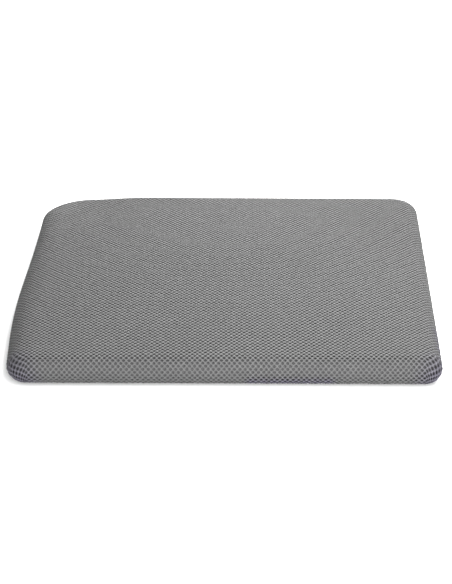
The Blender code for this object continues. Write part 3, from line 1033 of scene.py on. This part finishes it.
def make_pull(metal):
    """A flat tab with softened edges round its outside and its eye, and raised ridges to hold it by."""
    edge = pull_edge()
    eye = np.array([-0.00235, 0.0])
    away = edge - eye
    bearing = np.arctan2(away[:, 1], away[:, 0])
    reach = (np.abs(np.cos(bearing) / 0.00185) ** 5 + np.abs(np.sin(bearing) / 0.0012) ** 5) ** (-1 / 5)
    hole = eye + np.stack([np.cos(bearing), np.sin(bearing)], -1) * reach[:, None]
    length = np.linalg.norm(away, axis=1, keepdims=True)
    near_hole = hole + away / length * 0.00018
    near_edge = edge - away / length * 0.0002
    under = [(-0.6, hole), (-1, near_hole), (-1, near_edge), (-0.6, edge)]
    over = [(-lift, flat) for lift, flat in reversed(under)]
    rings = []
    for lift, flat in under + over:
        rings.append(np.stack([flat[:, 0], np.full(len(flat), lift * PULL_HALF_THICKNESS), flat[:, 1]], -1))
    place = np.array([SLIDER_X, BACK_Y + PULL_AXIS, ZIP_MIDDLE])
    quads = round_rings(len(rings), len(edge))[:, [0, 3, 2, 1]]
    tab = add_piece("pull_tab", np.concatenate(rings) + place, quads, metal, "pull", smooth=False)
    x = np.repeat(np.linspace(-0.0150, -0.0205, 6), 5).reshape(6, 5)
    z = np.broadcast_to(np.array([-1, -0.85, 0, 0.85, 1]) * 0.0017, x.shape)
    ridges = np.stack([x, np.full_like(x, 0.00045), z], -1) + place
    radius = 0.00030 * np.array([0.4, 0.9, 1, 0.9, 0.4])
    grip = add_tubes("pull_ridges", tube_along(ridges, radius, 8), metal, "pull")
    for piece in (tab, grip):
        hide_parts("zip_pull")


def make_zip(cloth, nylon, metal, thread):
    make_welt(cloth, thread)
    for name, side in (("upper", 1), ("lower", -1)):
        make_tape(f"zip_tape_{name}", side, cloth)
        make_coil(f"zip_coil_{name}", side, nylon, thread)
        make_stop(f"zip_top_stop_{name}", metal)
    make_stop("zip_bottom_stop", metal)
    make_slider(metal)
    make_pull(metal)


# --- Camera, floor and light ----------------------------------------------------------------------

CAMERA_DISTANCE = 2.223
CAMERA_ELEVATION = math.radians(25.2)
CAMERA_AZIMUTH = math.radians(0.69)
CAMERA_AIM = Vector((-0.0025, -0.0207, 0.015))
CAMERA_LENS = 134.3
FLOOR_GAP = 0.0002


def make_camera():
    data = bpy.data.cameras.new("camera")
    data.lens = CAMERA_LENS
    data.dof.use_dof = False
    camera = bpy.data.objects.new("camera", data)
    level = CAMERA_DISTANCE * math.cos(CAMERA_ELEVATION)
    camera.location = (
        level * math.sin(CAMERA_AZIMUTH),
        -level * math.cos(CAMERA_AZIMUTH),
        CAMERA_DISTANCE * math.sin(CAMERA_ELEVATION),
    )
    camera.rotation_euler = (CAMERA_AIM - camera.location).to_track_quat("-Z", "Y").to_euler()
    bpy.context.scene.collection.objects.link(camera)
    bpy.context.scene.camera = camera


def make_floor():
    shader = Shader("studio_paper", roughness=0.9)
    material = shader.finish((0.92, 0.92, 0.92, 1.0))
    bm = bmesh.new()
    bmesh.ops.create_grid(bm, x_segments=4, y_segments=4, size=9.0)
    mesh = bpy.data.meshes.new("floor")
    bm.to_mesh(mesh)
    bm.free()
    mesh.transform(Matrix.Translation((0, 0, -FLOOR_GAP)))
    mesh.materials.append(material)
    floor = bpy.data.objects.new("floor", mesh)
    bpy.context.scene.collection.objects.link(floor)


AMBIENT = 0.60
# Each softbox: its name, place, side and power in watts. All face the middle of the object.
SOFTBOXES = (
    ("overhead", (0.25, -0.10, 0.70), 0.5, 8.3),
    ("front", (0.15, -0.70, 0.60), 0.5, 5.4),
    ("rear", (0.20, 0.60, 0.60), 0.5, 7.6),
    ("low_rear", (0.20, 2.20, 0.70), 1.2, 62.0),
    ("low_front", (0.20, -2.40, 0.80), 1.2, 84.0),
)


def make_lights():
    for name, place, size, power in SOFTBOXES:
        data = bpy.data.lights.new(name, "AREA")
        data.shape = "SQUARE"
        data.size = size
        data.energy = power
        light = bpy.data.objects.new(name, data)
        light.location = place
        light.rotation_euler = (-Vector(place)).to_track_quat("-Z", "Y").to_euler()
        bpy.context.scene.collection.objects.link(light)
    world = bpy.data.worlds.new("studio")
    world.use_nodes = True
    background = world.node_tree.nodes["Background"]
    background.inputs["Color"].default_value = (1.0, 1.0, 1.0, 1.0)
    background.inputs["Strength"].default_value = AMBIENT
    bpy.context.scene.world = world
    bpy.context.scene.view_settings.view_transform = "Standard"


def main():
    make_camera()
    make_floor()
    make_lights()
    face = make_mesh_face(spacer_mesh_material())
    inner = make_inner_face(inner_mesh_material())
    for piece in [*face, inner]:
        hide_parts("mesh_cover")
    thread = thread_material()
    nylon = nylon_material()
    nickel = nickel_material()
    tape = woven_material("zip_cloth", (0.022, 0.022, 0.023), (0.062, 0.062, 0.064), 700.0)
    cloth = woven_material("base_cloth", (0.018, 0.018, 0.019), (0.046, 0.046, 0.048), 500.0)
    make_base(cloth, thread, rubber_material())
    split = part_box("comfort_foam")[0][2]
    floor_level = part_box("support_foam")[0][2]
    soft = foam_material("comfort_foam", (0.62, 0.60, 0.52), (0.80, 0.78, 0.70), 900.0)
    firm = foam_material("support_foam", (0.16, 0.17, 0.18), (0.26, 0.27, 0.29), 600.0)
    upper = make_foam("foam_upper_layer", "comfort_foam", split, math.inf, soft)
    lower = make_foam("foam_lower_layer", "support_foam", floor_level, split - FOAM_GAP, firm)
    make_zip(tape, nylon, nickel, thread)


main()
